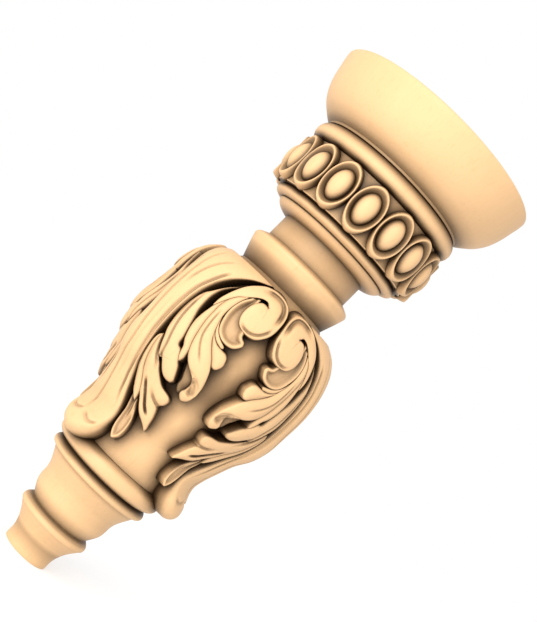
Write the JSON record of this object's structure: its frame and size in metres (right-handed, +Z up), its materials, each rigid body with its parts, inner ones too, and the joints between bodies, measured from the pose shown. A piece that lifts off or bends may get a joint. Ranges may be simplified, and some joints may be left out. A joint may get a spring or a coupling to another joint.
{
  "type": "carved baluster leg",
  "caption": "Turned and carved wooden baluster leg: wide bell on top, egg-carved drum, acanthus-carved bulb, tapering to a small round foot.",
  "frame": {"origin": "centre of the round foot's flat underside", "axes": "+Z up along the turning axis, from the foot to the bell; -Y faces the viewer, with one egg of the drum on it; the gap between two leaves lies 14.65 degrees from -Y towards +X"},
  "size_m": [0.1004, 0.1004, 0.24],
  "materials": {
    "carved_wood": "carved pale hardwood, satin"
  },
  "bodies": {
    "root": {"baluster": "carved_wood"}
  },
  "joints": []
}
